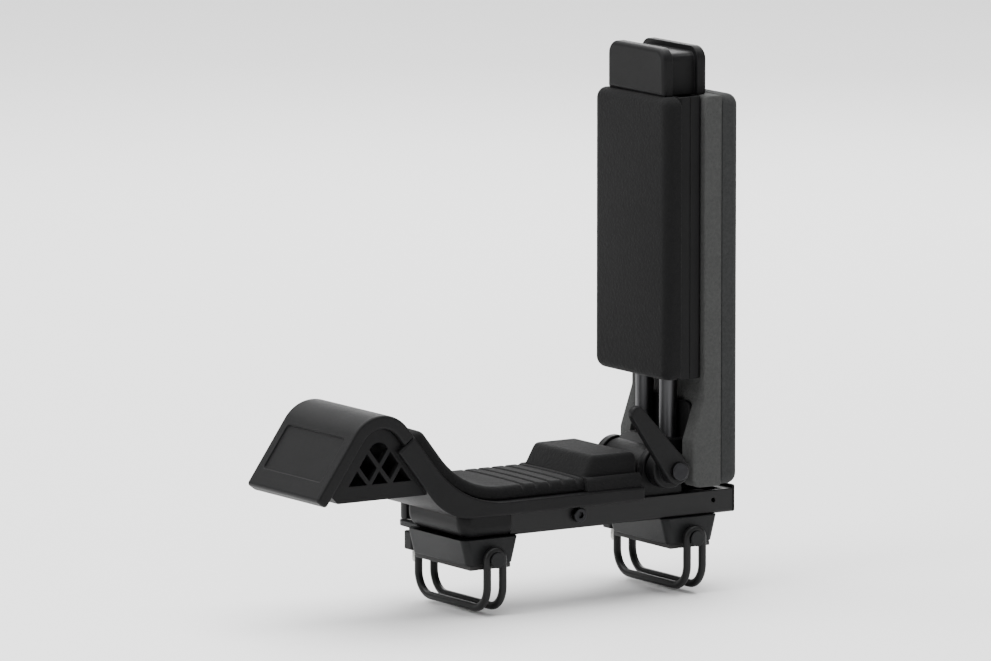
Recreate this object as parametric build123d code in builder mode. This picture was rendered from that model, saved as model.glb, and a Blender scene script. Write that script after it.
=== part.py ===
"""Folding J style kayak carrier with two clamps under its base.

The base runs along X. The clamped face is Z = 0, and the origin lies midway between the two clamps.
The padded J opens upwards between the nose, outboard at -X, and the folding mast, inboard at +X.
All sizes are in millimetres.
"""

import os
from math import cos, radians, sin, tan

from build123d import *

os.makedirs("parts", exist_ok=True)

# Clamped section
bar_height = 30.0

# Clearances
sliding_clearance = 0.2
running_clearance = 0.3
screw_clearance = 0.05
press_clearance = 0.02
pad_gap = 0.2

# Clamps
clamp_spacing = 208.0
saddle_thickness = 4.0
saddle_inset = 2.0
saddle_groove = 2.4
saddle_groove_pitch = 12.0
foot_height = 23.0
foot_length_top = 58.0
foot_length_bottom = 46.0
foot_width = 92.0
foot_corner = 6.0
foot_edge = 1.5
flange_thickness = 5.0
gusset_thickness = 2.5
gusset_depth = 14.0
wire_diameter = 7.0
wire_spacing = 16.0
wire_corner = 20.0
wire_to_foot = 2.0
wire_to_bar = 1.0
peg_height = 5.0
lip_thickness = 2.0
lip_overhang = 2.5
carriage_length = 16.0
carriage_width = 18.0
carriage_height = 16.0
carriage_corner = 4.0
carriage_edge = 1.0
carriage_to_wire = 4.5
clamp_travel = 8.0
clamp_screw_diameter = 8.0
screw_overrun = 3.0
screw_chamfer = 1.0
clamp_washer_diameter = 18.0
clamp_washer_thickness = 1.5
knob_diameter = 28.0
knob_height = 21.5
knob_lobes = 5
knob_scallop = 5.0
knob_rounding = 2.0
knob_roof = 5.0

# Base
rail_outboard_x = -82.0
rail_inboard_x = 150.0
rail_width = 84.0
rail_height = 21.0
rail_wall = 3.0
rail_rounding = 2.0
rail_edge = 1.0
drain_diameter = 4.0
drain_from_end = 20.0
cap_thickness = 3.0
cap_plug = 9.0
cap_edge = 1.2
cap_rise = 3.0
root_outboard_x = -134.0
root_width = 92.0
root_rounding = 14.0
root_corner = 10.0
root_edge = 3.0
tenon_length = 30.0
foot_screw_diameter = 6.0
foot_screw_head = 11.0
foot_screw_length = 16.0
foot_screw_pitch = 44.0

# J arm
arm_width = 115.0
arm_inboard_x = 48.0
arm_edge = 2.0
floor_thickness = 12.0
slope_thickness = 20.0
slope_angle = 52.0
bend_x = -139.0
bend_radius = 90.0
bend_radius_below = 56.0
slope_length = 82.0
lug_inboard_x = 6.0
lug_length = 36.0
lug_rounding = 3.0
arm_bolt_diameter = 8.0
arm_bolt_head = 13.0
arm_bolt_head_height = 5.0
arm_bolt_socket = 5.0
arm_nut_height = 6.5
bolt_overrun = 2.0
head_rounding = 1.2
arm_screw_diameter = 5.0
arm_screw_head = 10.0
arm_screw_length = 24.0
arm_screw_spacing = 60.0
arm_screw_to_rail = 10.0

# Nose
nose_thickness = 12.0
nose_frame = 12.0
nose_gap = 0.2
frame_inset = 6.0
nose_crest_radius = 34.0
nose_angle = 54.8
nose_lip_z = 77.0
lip_rounding = 3.0
cover_edge = 2.5
cover_leg = 10.4
chord_z = 72.0
chord_height = 14.0
chord_toe = 8.0
chord_wall = 5.0
chord_skin = 3.0
chord_pockets = 3
lattice_rib = 4.0
lattice_ribs = 2
lattice_thickness = 5.0
panel_recess = 1.6
panel_margin = 11.0
panel_to_crest = 5.0
lip_band = 18.0
panel_corner = 3.0

# Cradle pads
cradle_pad_thickness = 12.0
cradle_pad_width = 100.0
cradle_pad_end = 3.0
pad_groove = 2.5
pad_groove_pitch = 14.0
pad_grooves = 5
corner_pad_outboard_x = -10.0
corner_pad_rise = 18.0
corner_pad_angle = 60.0
corner_pad_to_end = 2.0
corner_pad_width = 110.0
corner_pad_rounding = 6.0

# Hinge
pivot_x = 77.0
pivot_above_rail = 24.5
pivot_diameter = 10.0
ear_thickness = 8.5
ear_radius = 19.0
ear_foot = 4.0
ear_gap = 60.0
bracket_outboard_x = 54.0
bracket_inboard_x = 124.0
bracket_floor = 6.0
bracket_edge = 1.5
stop_rise = 4.0
stop_length = 26.0
stop_width = 22.0
bracket_screw_diameter = 6.0
bracket_screw_head = 11.0
bracket_screw_head_height = 3.6
bracket_screw_length = 22.0
bracket_screw_pitch = 30.0
bracket_screw_spread = 40.0
bush_wall = 2.0
bush_flange = 0.9
bush_length = 14.0
bush_flange_diameter = 18.0
pivot_washer_diameter = 20.0
pivot_washer_thickness = 2.0
pivot_nut_width = 16.0
pivot_nut_height = 8.0
pivot_head_diameter = 16.0
pivot_head_height = 3.5

# Fold lever
lever_disc_diameter = 35.0
lever_disc_thickness = 13.0
lever_neck_diameter = 24.0
lever_length = 68.0
lever_angle = 128.0
lever_width = 14.0
lever_thickness = 7.0
lever_to_pad = 2.0
lever_rounding = 2.0

# Mast
mast_height = 440.0
tube_diameter = 16.0
tube_wall = 1.5
tube_spacing = 37.0
tube_from_pivot = 21.0
hub_width = 58.0
hub_barrel_radius = 17.0
hub_heel = 13.0
hub_wall = 4.0
hub_socket_top = 95.0
hub_socket_floor = 8.0
hub_flange_thickness = 4.0
hub_flange_width = 80.0
hub_flange_top = 128.0
hub_flange_corner = 8.0
hub_edge = 2.0
shell_wall = 3.5
shell_width = 104.0
shell_bottom = 150.0
shell_edge = 3.0
panel_screw_diameter = 4.0
panel_screw_head = 8.0
panel_screw_pitch = 80.0
panel_screws_in_row = 3
head_height = 42.0
head_length = 46.0
head_width = 88.0
head_rounding_top = 12.0
head_edge = 4.0
head_cover = 10.0
strap_width = 25.0
strap_groove = 5.0

# Mast pads
outboard_pad_thickness = 18.0
inboard_pad_thickness = 38.0
mast_pad_width = 115.0
mast_pad_rounding = 8.0
mast_pad_corner = 10.0
inboard_pad_to_rail = 6.0
wing_depth = 12.0
wing_top = 131.0
wing_full = 95.0

# Levels
saddle_top = saddle_thickness
deck_z = saddle_top + foot_height
rail_top = deck_z + rail_height
floor_top = rail_top + floor_thickness
cradle_top = floor_top + cradle_pad_thickness
pivot_z = rail_top + pivot_above_rail
peg_z = saddle_top + peg_height
flange_under = deck_z - flange_thickness

# Places along X
clamp_places = {"outboard": -clamp_spacing / 2, "inboard": clamp_spacing / 2}
tube_x = pivot_x + tube_from_pivot
shell_outboard_x = tube_x - tube_diameter / 2 - running_clearance - shell_wall
shell_inboard_x = tube_x + tube_diameter / 2 + running_clearance + shell_wall
tube_ys = {"front": -tube_spacing / 2, "rear": tube_spacing / 2}
panel_head_depth = (panel_screw_head - panel_screw_diameter) / 2

# Places along Y
wire_radius = wire_diameter / 2
peg_radius = wire_spacing / 2 - wire_radius - sliding_clearance
lip_radius = peg_radius + lip_overhang
wire_front_y = -foot_width / 2 - wire_to_foot - wire_radius
wire_rear_y = foot_width / 2 + wire_to_foot + lip_thickness + 2 * lip_overhang + wire_radius
wire_bottom_z = -bar_height - wire_to_bar - wire_radius
lip_front_y = wire_front_y - wire_radius - sliding_clearance
lip_rear_y = wire_rear_y - wire_radius - lip_overhang / 2
carriage_front_y = wire_rear_y + wire_radius + carriage_to_wire
screw_y = carriage_front_y + carriage_length / 2
gusset_outer = wire_spacing / 2 + wire_radius + 2 * sliding_clearance + gusset_thickness


def nearest(sketch, x, y):
    """The corner of a flat sketch that lies nearest to a point of its plane."""
    return sketch.vertices().sort_by_distance((x, y, 0))[0]


def side_rims(part):
    """The edges round the front and rear faces of a moulding."""
    across = part.faces().filter_by(Axis.Y).sort_by(Axis.Y)
    return across[0].outer_wire().edges() + across[-1].outer_wire().edges()


# Saddle pads: grooved rubber under each foot
for side, x in clamp_places.items():
    with BuildPart() as saddle_pad:
        with BuildSketch(Plane.XY):
            with Locations((x, 0)):
                RectangleRounded(
                    foot_length_bottom - 2 * saddle_inset,
                    foot_width - 2 * saddle_inset,
                    foot_corner - saddle_inset,
                )
        extrude(amount=saddle_thickness)
        with BuildSketch(Plane.XZ):
            with Locations((x, 0)):
                with GridLocations(saddle_groove_pitch, 0, 3, 1):
                    Rectangle(saddle_groove, saddle_groove)
        extrude(amount=foot_width, both=True, mode=Mode.SUBTRACT)
    saddle_pad.part.label = f"saddle_pad_{side}"
    export_step(saddle_pad.part, f"parts/saddle_pad_{side}.step")

# Feet: tapered blocks with a peg for the bail in front and a gusseted screw flange behind
for side, x in clamp_places.items():
    with BuildPart() as foot:
        with BuildSketch(Plane.XZ):
            with BuildLine():
                Polyline(
                    (x - foot_length_bottom / 2, saddle_top),
                    (x + foot_length_bottom / 2, saddle_top),
                    (x + foot_length_top / 2, deck_z),
                    (x - foot_length_top / 2, deck_z),
                    close=True,
                )
            make_face()
        extrude(amount=foot_width / 2, both=True)
        slanted = foot.edges().filter_by(Axis.X, reverse=True).filter_by(Axis.Y, reverse=True)
        fillet(slanted, foot_corner)
        fillet(foot.faces().sort_by(Axis.Z)[0].edges(), foot_edge)
        flange_front_y = foot_width / 2 - foot_corner
        with BuildSketch(Plane.XY.offset(flange_under)):
            with Locations((x, (flange_front_y + screw_y) / 2)):
                Rectangle(2 * gusset_outer, screw_y - flange_front_y)
            with Locations((x, screw_y)):
                Circle(gusset_outer)
        extrude(amount=flange_thickness)
        for gusset_x in (x - gusset_outer, x + gusset_outer - gusset_thickness):
            with BuildSketch(Plane.YZ.offset(gusset_x)):
                with BuildLine():
                    Polyline(
                        (flange_front_y, flange_under),
                        (flange_front_y, flange_under - gusset_depth),
                        (foot_width / 2, flange_under - gusset_depth),
                        (screw_y - gusset_outer, flange_under),
                        close=True,
                    )
                make_face()
            extrude(amount=gusset_thickness)
        with BuildSketch(Plane.XZ.offset(foot_width / 2)):
            with Locations((x, peg_z)):
                Circle(peg_radius)
        extrude(amount=-lip_front_y - foot_width / 2)
        with BuildSketch(Plane.XZ.offset(-lip_front_y)):
            with Locations((x, peg_z)):
                Circle(lip_radius)
        extrude(amount=lip_thickness)
        with Locations((x, screw_y, deck_z)):
            Hole(clamp_screw_diameter / 2 + screw_clearance, flange_thickness)
        with Locations((x, -foot_screw_pitch / 2, deck_z), (x, foot_screw_pitch / 2, deck_z)):
            Hole(foot_screw_diameter / 2 + press_clearance, foot_screw_length - rail_wall)
        if side == "inboard":
            with Locations((x, 0, deck_z)):
                with GridLocations(bracket_screw_pitch, bracket_screw_spread, 2, 2):
                    Hole(
                        bracket_screw_diameter / 2 + press_clearance,
                        bracket_screw_length - bracket_floor - rail_wall,
                    )
    foot.part.label = f"foot_{side}"
    export_step(foot.part, f"parts/foot_{side}.step")

# Bails: closed wire loops that hang from the front peg, run under the foot and rise behind it
arch_radius = wire_spacing / 2
arch_top = peg_z + arch_radius
arch_45 = arch_radius * cos(radians(45))
corner_45 = wire_corner * (1 - cos(radians(45)))
for side, x in clamp_places.items():
    strand_x = x - arch_radius
    with BuildPart() as bail:
        with BuildLine() as half_loop:
            ThreePointArc(
                (x, wire_front_y, arch_top),
                (x - arch_45, wire_front_y, peg_z + arch_45),
                (strand_x, wire_front_y, peg_z),
            )
            Line((strand_x, wire_front_y, peg_z), (strand_x, wire_front_y, wire_bottom_z + wire_corner))
            ThreePointArc(
                (strand_x, wire_front_y, wire_bottom_z + wire_corner),
                (strand_x, wire_front_y + corner_45, wire_bottom_z + corner_45),
                (strand_x, wire_front_y + wire_corner, wire_bottom_z),
            )
            Line(
                (strand_x, wire_front_y + wire_corner, wire_bottom_z),
                (strand_x, wire_rear_y - wire_corner, wire_bottom_z),
            )
            ThreePointArc(
                (strand_x, wire_rear_y - wire_corner, wire_bottom_z),
                (strand_x, wire_rear_y - corner_45, wire_bottom_z + corner_45),
                (strand_x, wire_rear_y, wire_bottom_z + wire_corner),
            )
            Line((strand_x, wire_rear_y, wire_bottom_z + wire_corner), (strand_x, wire_rear_y, peg_z))
            ThreePointArc(
                (strand_x, wire_rear_y, peg_z),
                (x - arch_45, wire_rear_y, peg_z + arch_45),
                (x, wire_rear_y, arch_top),
            )
        with BuildSketch(Plane(origin=(x, wire_front_y, arch_top), z_dir=(-1, 0, 0))):
            Circle(wire_radius)
        sweep(path=half_loop.wires()[0])
        mirror(about=Plane.YZ.offset(x))
    bail.part.label = f"bail_{side}"
    export_step(bail.part, f"parts/bail_{side}.step")

# Carriages: nut blocks on the clamp screws, each with a peg under the rear arch of its bail
carriage_bottom = peg_z - carriage_height / 2
for side, x in clamp_places.items():
    with BuildPart() as carriage:
        with BuildSketch(Plane.XY.offset(carriage_bottom)):
            with Locations((x, screw_y)):
                RectangleRounded(carriage_width, carriage_length, carriage_corner)
        extrude(amount=carriage_height)
        fillet(carriage.faces().filter_by(Axis.Z).edges(), carriage_edge)
        with BuildSketch(Plane.XZ.offset(-carriage_front_y)):
            with Locations((x, peg_z)):
                Circle(peg_radius)
        extrude(amount=carriage_front_y - lip_rear_y)
        with BuildSketch(Plane.XZ.offset(-lip_rear_y)):
            with Locations((x, peg_z)):
                Circle(lip_radius)
        extrude(amount=lip_thickness)
        with Locations((x, screw_y, carriage_bottom + carriage_height)):
            Hole(clamp_screw_diameter / 2 + screw_clearance, carriage_height)
    carriage.part.label = f"carriage_{side}"
    export_step(carriage.part, f"parts/carriage_{side}.step")

# Clamp washers, clamp screws and hand knobs
knob_bottom = deck_z + clamp_washer_thickness + running_clearance
screw_top = knob_bottom + knob_height - knob_roof
screw_bottom = carriage_bottom - clamp_travel - screw_overrun
for side, x in clamp_places.items():
    with BuildPart() as clamp_washer:
        with BuildSketch(Plane.XY.offset(deck_z)):
            with Locations((x, screw_y)):
                Circle(clamp_washer_diameter / 2)
                Circle(clamp_screw_diameter / 2 + screw_clearance, mode=Mode.SUBTRACT)
        extrude(amount=clamp_washer_thickness)
    clamp_washer.part.label = f"clamp_washer_{side}"
    export_step(clamp_washer.part, f"parts/clamp_washer_{side}.step")

    with BuildPart() as clamp_screw:
        with BuildSketch(Plane.XY.offset(screw_bottom)):
            with Locations((x, screw_y)):
                Circle(clamp_screw_diameter / 2)
        extrude(amount=screw_top - screw_bottom)
        chamfer(clamp_screw.edges().group_by(Axis.Z)[0], screw_chamfer)
    clamp_screw.part.label = f"clamp_screw_{side}"
    export_step(clamp_screw.part, f"parts/clamp_screw_{side}.step")

    with BuildPart() as knob:
        with BuildSketch(Plane.XY.offset(knob_bottom)):
            with Locations((x, screw_y)):
                Circle(knob_diameter / 2)
                with PolarLocations(knob_diameter / 2 + knob_scallop / 2, knob_lobes):
                    Circle(knob_scallop, mode=Mode.SUBTRACT)
        extrude(amount=knob_height)
        fillet(knob.edges().group_by(Axis.Z)[-1], knob_rounding)
        with BuildSketch(Plane.XY.offset(knob_bottom)):
            with Locations((x, screw_y)):
                Circle(clamp_screw_diameter / 2 + press_clearance)
        extrude(amount=knob_height - knob_roof, mode=Mode.SUBTRACT)
    knob.part.label = f"knob_{side}"
    export_step(knob.part, f"parts/knob_{side}.step")

# Base rail: channel, open at the top, that carries the arm and the hinge
rail_floor_z = deck_z + rail_wall
rail_inner = rail_width - 2 * rail_wall
bolt_x = lug_inboard_x - lug_length / 2
bolt_z = (rail_floor_z + rail_top) / 2
inboard_x = clamp_places["inboard"]
outboard_x = clamp_places["outboard"]
with BuildPart() as base_rail:
    with BuildSketch(Plane.YZ.offset(rail_outboard_x)):
        with Locations((0, (deck_z + rail_top) / 2)):
            Rectangle(rail_width, rail_height)
        with Locations((0, (rail_floor_z + rail_top) / 2)):
            Rectangle(rail_inner, rail_height - rail_wall, mode=Mode.SUBTRACT)
    extrude(amount=rail_inboard_x - rail_outboard_x)
    fillet(base_rail.edges().filter_by(Axis.X).group_by(Axis.Z)[0], rail_rounding)
    fillet(base_rail.edges().filter_by(Axis.X).group_by(Axis.Z)[-1], rail_edge)
    with BuildSketch(Plane.XZ):
        with Locations((bolt_x, bolt_z)):
            Circle(arm_bolt_diameter / 2 + screw_clearance)
        with Locations((rail_inboard_x - drain_from_end, bolt_z)):
            Circle(drain_diameter / 2)
    extrude(amount=rail_width, both=True, mode=Mode.SUBTRACT)
    with Locations(
        (inboard_x, -foot_screw_pitch / 2, rail_floor_z),
        (inboard_x, foot_screw_pitch / 2, rail_floor_z),
    ):
        CounterSinkHole(
            foot_screw_diameter / 2 + press_clearance,
            foot_screw_head / 2 + press_clearance,
            rail_wall,
            counter_sink_angle=90,
        )
    with Locations((inboard_x, 0, rail_floor_z)):
        with GridLocations(bracket_screw_pitch, bracket_screw_spread, 2, 2):
            Hole(bracket_screw_diameter / 2 + press_clearance, rail_wall)
base_rail.part.label = "base_rail"
export_step(base_rail.part, "parts/base_rail.step")

# Rail end cap: plate with a plug inside the channel
with BuildPart() as rail_end_cap:
    with BuildSketch(Plane.YZ.offset(rail_inboard_x)):
        with Locations((0, (deck_z + rail_top + cap_rise) / 2)):
            RectangleRounded(rail_width, rail_height + cap_rise, rail_rounding)
    extrude(amount=cap_thickness)
    fillet(rail_end_cap.faces().sort_by(Axis.X)[-1].edges(), cap_edge)
    with BuildSketch(Plane.YZ.offset(rail_inboard_x)):
        with Locations((0, (rail_floor_z + rail_top) / 2)):
            Rectangle(rail_inner - 2 * sliding_clearance, rail_height - rail_wall - 2 * sliding_clearance)
    extrude(amount=-cap_plug)
rail_end_cap.part.label = "rail_end_cap"
export_step(rail_end_cap.part, "parts/rail_end_cap.step")

# Root block: carries the foot of the curved arm and plugs into the outboard end of the rail
arm_screw_x = rail_outboard_x - arm_screw_to_rail
with BuildPart() as root_block:
    with BuildSketch(Plane.XZ) as root_side:
        with BuildLine():
            Polyline(
                (root_outboard_x, deck_z),
                (rail_outboard_x, deck_z),
                (rail_outboard_x, rail_top),
                (root_outboard_x, rail_top),
                close=True,
            )
        make_face()
        fillet(nearest(root_side, root_outboard_x, deck_z), root_rounding)
    extrude(amount=root_width / 2, both=True)
    fillet(root_block.edges().filter_by(Axis.Z).group_by(Axis.X)[0], root_corner)
    fillet(root_block.edges().filter_by(Axis.Z).group_by(Axis.X)[-1], root_edge)
    with BuildSketch(Plane.XZ):
        with BuildLine():
            Polyline(
                (rail_outboard_x, rail_floor_z + sliding_clearance),
                (rail_outboard_x + tenon_length, rail_floor_z + sliding_clearance),
                (rail_outboard_x + tenon_length, rail_top),
                (rail_outboard_x, rail_top),
                close=True,
            )
        make_face()
    extrude(amount=rail_inner / 2 - sliding_clearance, both=True)
    with Locations(
        (outboard_x, -foot_screw_pitch / 2, rail_floor_z),
        (outboard_x, foot_screw_pitch / 2, rail_floor_z),
    ):
        CounterSinkHole(
            foot_screw_diameter / 2 + press_clearance,
            foot_screw_head / 2 + press_clearance,
            rail_wall,
            counter_sink_angle=90,
        )
    with Locations(
        (outboard_x, -foot_screw_pitch / 2, rail_top),
        (outboard_x, foot_screw_pitch / 2, rail_top),
    ):
        Hole(foot_screw_head / 2 + press_clearance, rail_top - rail_floor_z)
    with Locations(
        (arm_screw_x, -arm_screw_spacing / 2, rail_top),
        (arm_screw_x, arm_screw_spacing / 2, rail_top),
    ):
        Hole(arm_screw_diameter / 2 + press_clearance, arm_screw_length - floor_thickness)
root_block.part.label = "root_block"
export_step(root_block.part, "parts/root_block.step")

# Foot screws: countersunk, two through the rail floor and two through the root block
with BuildPart() as foot_screws:
    head_depth = (foot_screw_head - foot_screw_diameter) / 2
    for x in clamp_places.values():
        for y in (-foot_screw_pitch / 2, foot_screw_pitch / 2):
            with BuildSketch(Plane.XY.offset(rail_floor_z - foot_screw_length)):
                with Locations((x, y)):
                    Circle(foot_screw_diameter / 2)
            extrude(amount=foot_screw_length)
            with Locations((x, y, rail_floor_z - head_depth / 2)):
                Cone(foot_screw_diameter / 2, foot_screw_head / 2, head_depth)
foot_screws.part.label = "foot_screws"
export_step(foot_screws.part, "parts/foot_screws.step")

# Directions of the J: up along its slope, out of its slope, down along the nose and out of the nose
up = Vector(-cos(radians(slope_angle)), sin(radians(slope_angle)))
out = Vector(sin(radians(slope_angle)), cos(radians(slope_angle)))
down = Vector(-cos(radians(nose_angle)), -sin(radians(nose_angle)))
ahead = Vector(-sin(radians(nose_angle)), cos(radians(nose_angle)))
over = (out + ahead).normalized()

# Corners of the J and its nose, as points of the side view
bend = Vector(bend_x, floor_top)
bend_tangent = tan(radians(slope_angle / 2))
thickness_change = slope_thickness - floor_thickness * cos(radians(slope_angle))
bend_below = Vector(bend_x - thickness_change / out.X, rail_top)
hood_end = bend + up * slope_length
crest_start = hood_end + up * cover_leg
crest = crest_start - out * nose_crest_radius
frame_radius = nose_crest_radius - nose_thickness
window_radius = frame_radius - nose_frame


def on_leg(radius, z):
    """Where the nose's front leg, that far from the crest's centre, comes down to a height."""
    start = crest + ahead * radius
    return start + down * ((start.Y - z) / -down.Y)


def on_slope(offset, z):
    """Where a line under the slope, that far from its top face, crosses a height."""
    start = bend - out * offset
    return start + up * ((z - start.Y) / up.Y)


# J arm: cradle floor, bend and slope, with a triangular frame under the nose that is latticed at its sides
chord_top = chord_z + chord_height
toe = on_leg(frame_radius - nose_gap, chord_z + chord_toe)
frame_root = on_slope(nose_thickness + nose_gap, chord_z)
frame_outer = frame_radius - nose_gap
frame_half_width = arm_width / 2 - frame_inset
window_base_x = on_leg(window_radius, chord_top).X
window_end_x = on_slope(nose_crest_radius - window_radius, chord_top).X
rib_length = 4 * window_radius + 4 * chord_height
pocket_outboard_x = toe.X + chord_toe + chord_wall
pocket_inboard_x = on_slope(slope_thickness, chord_top - chord_skin).X - chord_wall
pocket_pitch = (2 * frame_half_width - chord_wall) / chord_pockets
with BuildPart() as j_arm:
    with BuildSketch(Plane.XZ) as arm_side:
        with BuildLine():
            Polyline(
                hood_end,
                hood_end - out * slope_thickness,
                bend_below,
                (arm_inboard_x, rail_top),
                (arm_inboard_x, floor_top),
                bend,
                close=True,
            )
        make_face()
        fillet(nearest(arm_side, bend.X, bend.Y), bend_radius)
        fillet(nearest(arm_side, bend_below.X, bend_below.Y), bend_radius_below)
    extrude(amount=arm_width / 2, both=True)
    fillet(side_rims(j_arm), arm_edge)
    with BuildSketch(Plane.XZ):
        with BuildLine():
            Polyline(
                crest + ahead * frame_outer,
                toe,
                (toe.X + chord_toe, chord_z),
                frame_root,
                crest + out * frame_outer,
            )
            ThreePointArc(
                crest + out * frame_outer,
                crest + over * frame_outer,
                crest + ahead * frame_outer,
            )
        make_face()
    extrude(amount=frame_half_width, both=True)
    with BuildSketch(Plane.XZ, mode=Mode.PRIVATE) as under_hood:
        with BuildLine():
            Polyline(
                crest + out * window_radius,
                (window_end_x, chord_top),
                (window_base_x, chord_top),
                crest + ahead * window_radius,
            )
            ThreePointArc(
                crest + ahead * window_radius,
                crest + over * window_radius,
                crest + out * window_radius,
            )
        make_face()
    with BuildSketch(Plane.XZ):
        add(under_hood.sketch_local)
    extrude(amount=frame_half_width - lattice_thickness, both=True, mode=Mode.SUBTRACT)
    with BuildSketch(Plane.XZ):
        add(under_hood.sketch_local)
        for i in range(1, lattice_ribs + 1):
            rib_x = window_base_x + (window_end_x - window_base_x) * i / (lattice_ribs + 1)
            with Locations((rib_x, chord_top)):
                Rectangle(lattice_rib, rib_length, 90 - slope_angle, mode=Mode.SUBTRACT)
                Rectangle(lattice_rib, rib_length, nose_angle - 90, mode=Mode.SUBTRACT)
    extrude(amount=frame_half_width, both=True, mode=Mode.SUBTRACT)
    with BuildSketch(Plane.XY.offset(chord_z)):
        with Locations(((pocket_outboard_x + pocket_inboard_x) / 2, 0)):
            with GridLocations(0, pocket_pitch, 1, chord_pockets):
                Rectangle(pocket_inboard_x - pocket_outboard_x, pocket_pitch - chord_wall)
    extrude(amount=chord_height - chord_skin, mode=Mode.SUBTRACT)
    with BuildSketch(Plane.XZ) as lug_side:
        with BuildLine():
            Polyline(
                (lug_inboard_x - lug_length, rail_top),
                (lug_inboard_x - lug_length, rail_floor_z + sliding_clearance),
                (lug_inboard_x, rail_floor_z + sliding_clearance),
                (lug_inboard_x, rail_top),
                close=True,
            )
        make_face()
        fillet(lug_side.vertices().group_by(Axis.Y)[0], lug_rounding)
    extrude(amount=rail_inner / 2 - sliding_clearance, both=True)
    with BuildSketch(Plane.XZ):
        with Locations((bolt_x, bolt_z)):
            Circle(arm_bolt_diameter / 2 + screw_clearance)
    extrude(amount=arm_width, both=True, mode=Mode.SUBTRACT)
    with Locations(
        (arm_screw_x, -arm_screw_spacing / 2, floor_top),
        (arm_screw_x, arm_screw_spacing / 2, floor_top),
    ):
        CounterSinkHole(
            arm_screw_diameter / 2 + press_clearance,
            arm_screw_head / 2 + press_clearance,
            floor_thickness,
            counter_sink_angle=90,
        )
j_arm.part.label = "j_arm"
export_step(j_arm.part, "parts/j_arm.step")

# Nose cover: bent hood over the frame, with a shallow bare panel on its front face
lip_outside = on_leg(nose_crest_radius, nose_lip_z)
lip_inside = lip_outside - ahead * nose_thickness
with BuildPart() as nose_cover:
    with BuildSketch(Plane.XZ) as cover_side:
        with BuildLine():
            Polyline(
                crest + out * nose_crest_radius,
                hood_end + up * nose_gap,
                hood_end + up * nose_gap - out * nose_thickness,
                crest + out * frame_radius,
            )
            ThreePointArc(
                crest + out * frame_radius,
                crest + over * frame_radius,
                crest + ahead * frame_radius,
            )
            Polyline(
                crest + ahead * frame_radius,
                lip_inside,
                lip_outside,
                crest + ahead * nose_crest_radius,
            )
            ThreePointArc(
                crest + ahead * nose_crest_radius,
                crest + over * nose_crest_radius,
                crest + out * nose_crest_radius,
            )
        make_face()
        fillet(nearest(cover_side, lip_inside.X, lip_inside.Y), lip_rounding)
        fillet(nearest(cover_side, lip_outside.X, lip_outside.Y), lip_rounding)
    extrude(amount=arm_width / 2, both=True)
    fillet(side_rims(nose_cover), cover_edge)
    leg_top = crest + ahead * nose_crest_radius
    panel_top = leg_top + down * panel_to_crest
    panel_bottom = lip_outside - down * lip_band
    panel_middle = (panel_top + panel_bottom) / 2
    front_face = Plane(
        origin=(panel_middle.X, 0, panel_middle.Y), x_dir=(0, 1, 0), z_dir=(ahead.X, 0, ahead.Y)
    )
    with BuildSketch(front_face):
        RectangleRounded(arm_width - 2 * panel_margin, (panel_bottom - panel_top).length, panel_corner)
    extrude(amount=-panel_recess, mode=Mode.SUBTRACT)
nose_cover.part.label = "nose_cover"
export_step(nose_cover.part, "parts/nose_cover.step")

# Cradle pad: foam strip along the floor, round the bend and up the slope
seat_z = floor_top + pad_gap
seat = bend + Vector(pad_gap * bend_tangent, pad_gap)
crown = bend + Vector(cradle_pad_thickness * bend_tangent, cradle_pad_thickness)
pad_end = bend + up * (slope_length - cradle_pad_end)
pad_inboard_x = corner_pad_outboard_x - pad_gap
with BuildPart() as cradle_pad:
    with BuildSketch(Plane.XZ) as pad_side:
        with BuildLine():
            Polyline(
                (pad_inboard_x, seat_z),
                seat,
                pad_end + out * pad_gap,
                pad_end + out * cradle_pad_thickness,
                crown,
                (pad_inboard_x, cradle_top),
                close=True,
            )
        make_face()
        fillet(nearest(pad_side, seat.X, seat.Y), bend_radius - pad_gap)
        fillet(nearest(pad_side, crown.X, crown.Y), bend_radius - cradle_pad_thickness)
        tip = pad_end + out * cradle_pad_thickness
        fillet(nearest(pad_side, tip.X, tip.Y), cradle_pad_thickness / 2)
    extrude(amount=cradle_pad_width / 2, both=True)
    with BuildSketch(Plane.XZ):
        with Locations((pad_inboard_x - pad_groove_pitch * pad_grooves / 2, cradle_top)):
            with GridLocations(pad_groove_pitch, 0, pad_grooves, 1):
                Rectangle(pad_groove, 2 * pad_groove)
    extrude(amount=cradle_pad_width, both=True, mode=Mode.SUBTRACT)
cradle_pad.part.label = "cradle_pad"
export_step(cradle_pad.part, "parts/cradle_pad.step")

# Corner pad: raised wedge between the cradle floor and the foot of the mast
corner_inboard_x = arm_inboard_x - corner_pad_to_end
corner_top = cradle_top + corner_pad_rise
corner_top_x = corner_pad_outboard_x + corner_pad_rise / tan(radians(corner_pad_angle))
with BuildPart() as corner_pad:
    with BuildSketch(Plane.XZ) as corner_side:
        with BuildLine():
            Polyline(
                (corner_pad_outboard_x, seat_z),
                (corner_inboard_x, seat_z),
                (corner_inboard_x, corner_top),
                (corner_top_x, corner_top),
                (corner_pad_outboard_x, cradle_top),
                close=True,
            )
        make_face()
        fillet(corner_side.vertices().group_by(Axis.Y)[-1], corner_pad_rounding)
    extrude(amount=corner_pad_width / 2, both=True)
corner_pad.part.label = "corner_pad"
export_step(corner_pad.part, "parts/corner_pad.step")

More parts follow.
